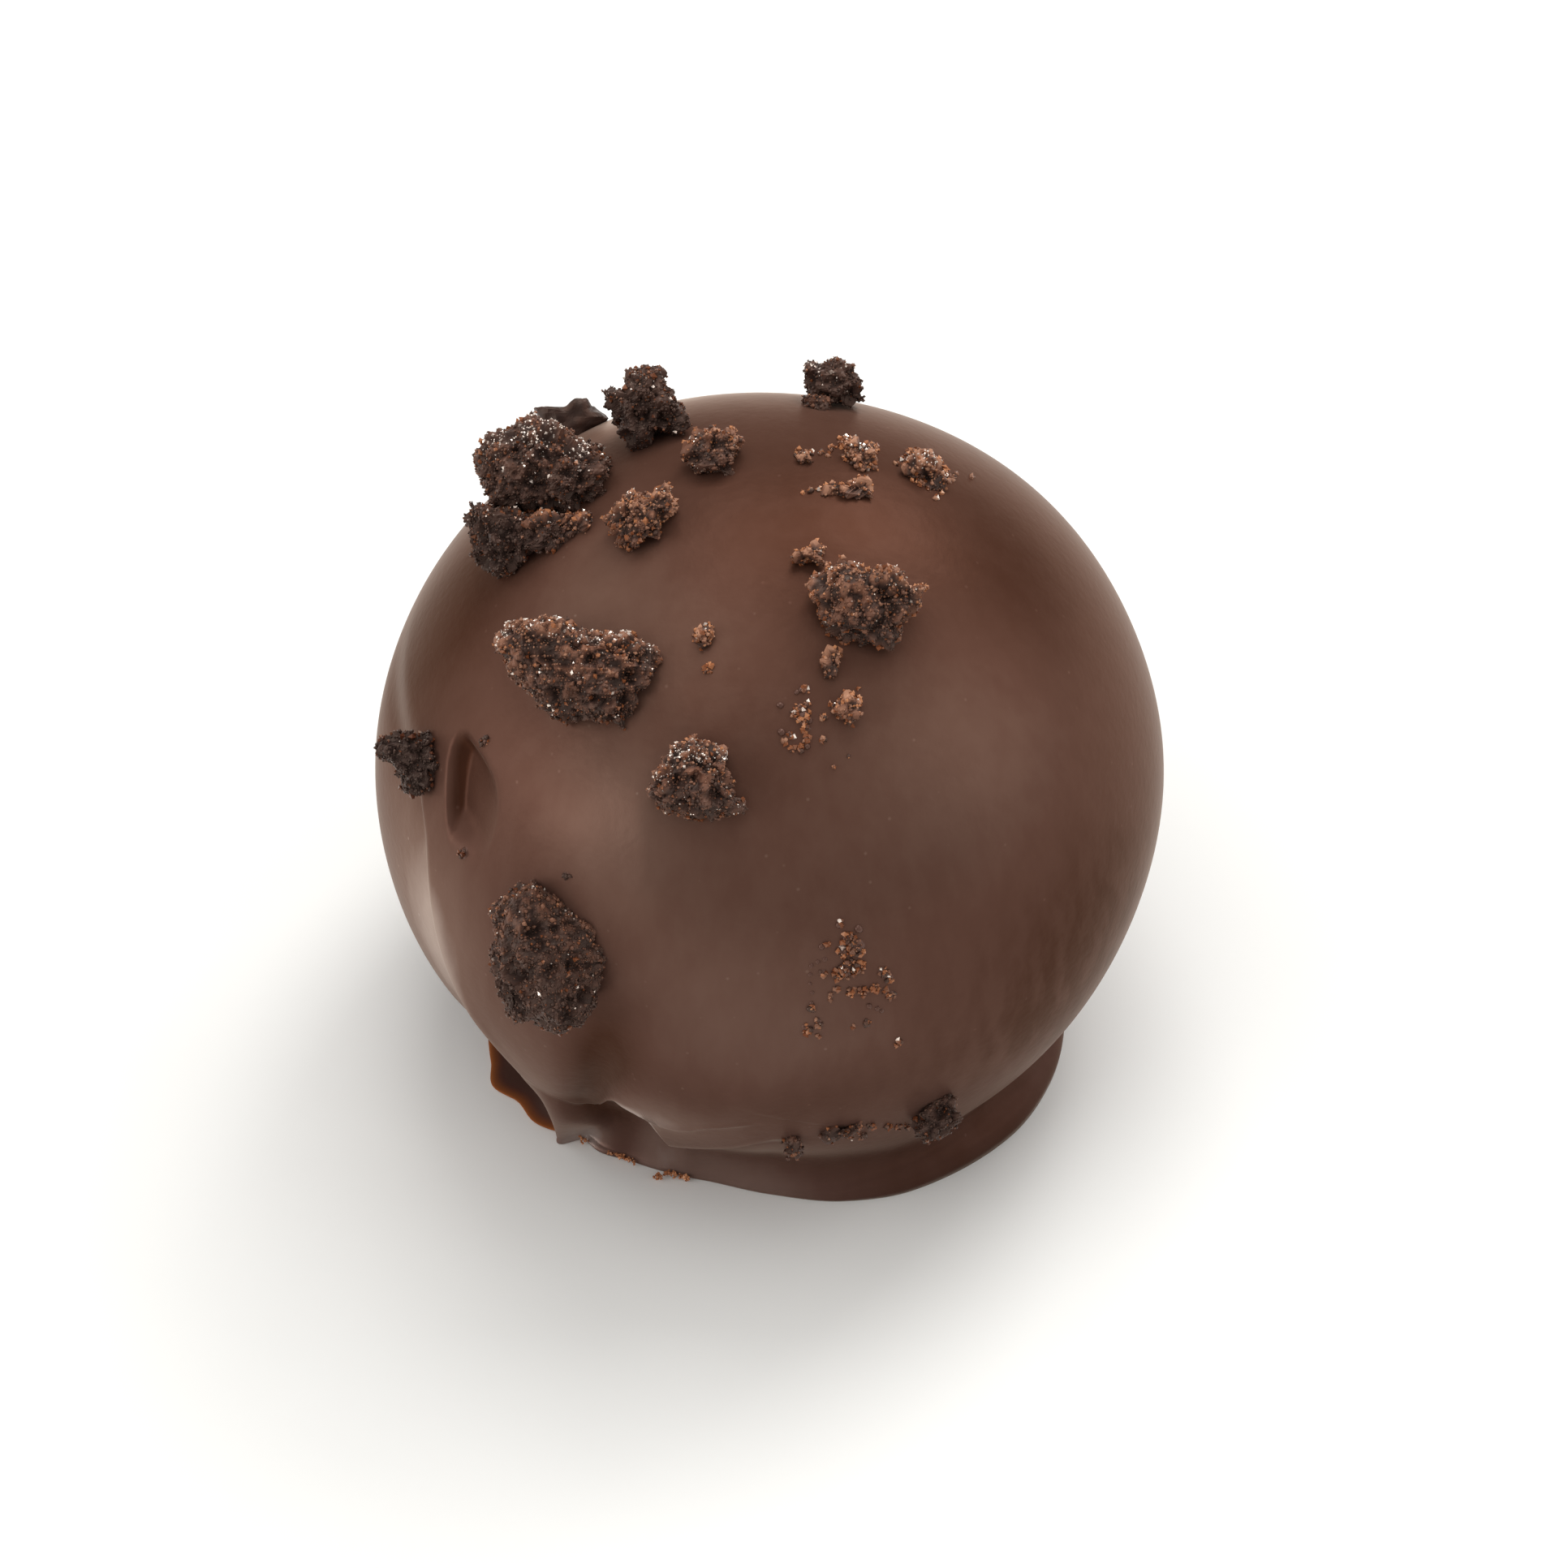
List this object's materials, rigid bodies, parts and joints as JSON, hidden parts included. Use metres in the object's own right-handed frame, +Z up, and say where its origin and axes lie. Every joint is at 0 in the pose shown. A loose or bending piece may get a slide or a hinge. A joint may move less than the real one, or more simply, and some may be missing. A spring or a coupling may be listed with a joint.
{
  "type": "chocolate truffle",
  "caption": "Round hand-dipped chocolate truffle on a low flat foot, scattered with dark cake crumbs, made to rest on a plate or in a box.",
  "frame": {"origin": "middle of the flat base, on the table, straight under the centre of the ball", "axes": "+Z up from the base; the front, where the fold and the lip are, faces -Y; +X to the right seen from the front"},
  "size_m": [0.0315, 0.0329, 0.0293],
  "materials": {
    "chocolate": "satin",
    "crumb": "rough, grainy"
  },
  "bodies": {
    "root": {"truffle": "chocolate"}
  },
  "joints": []
}
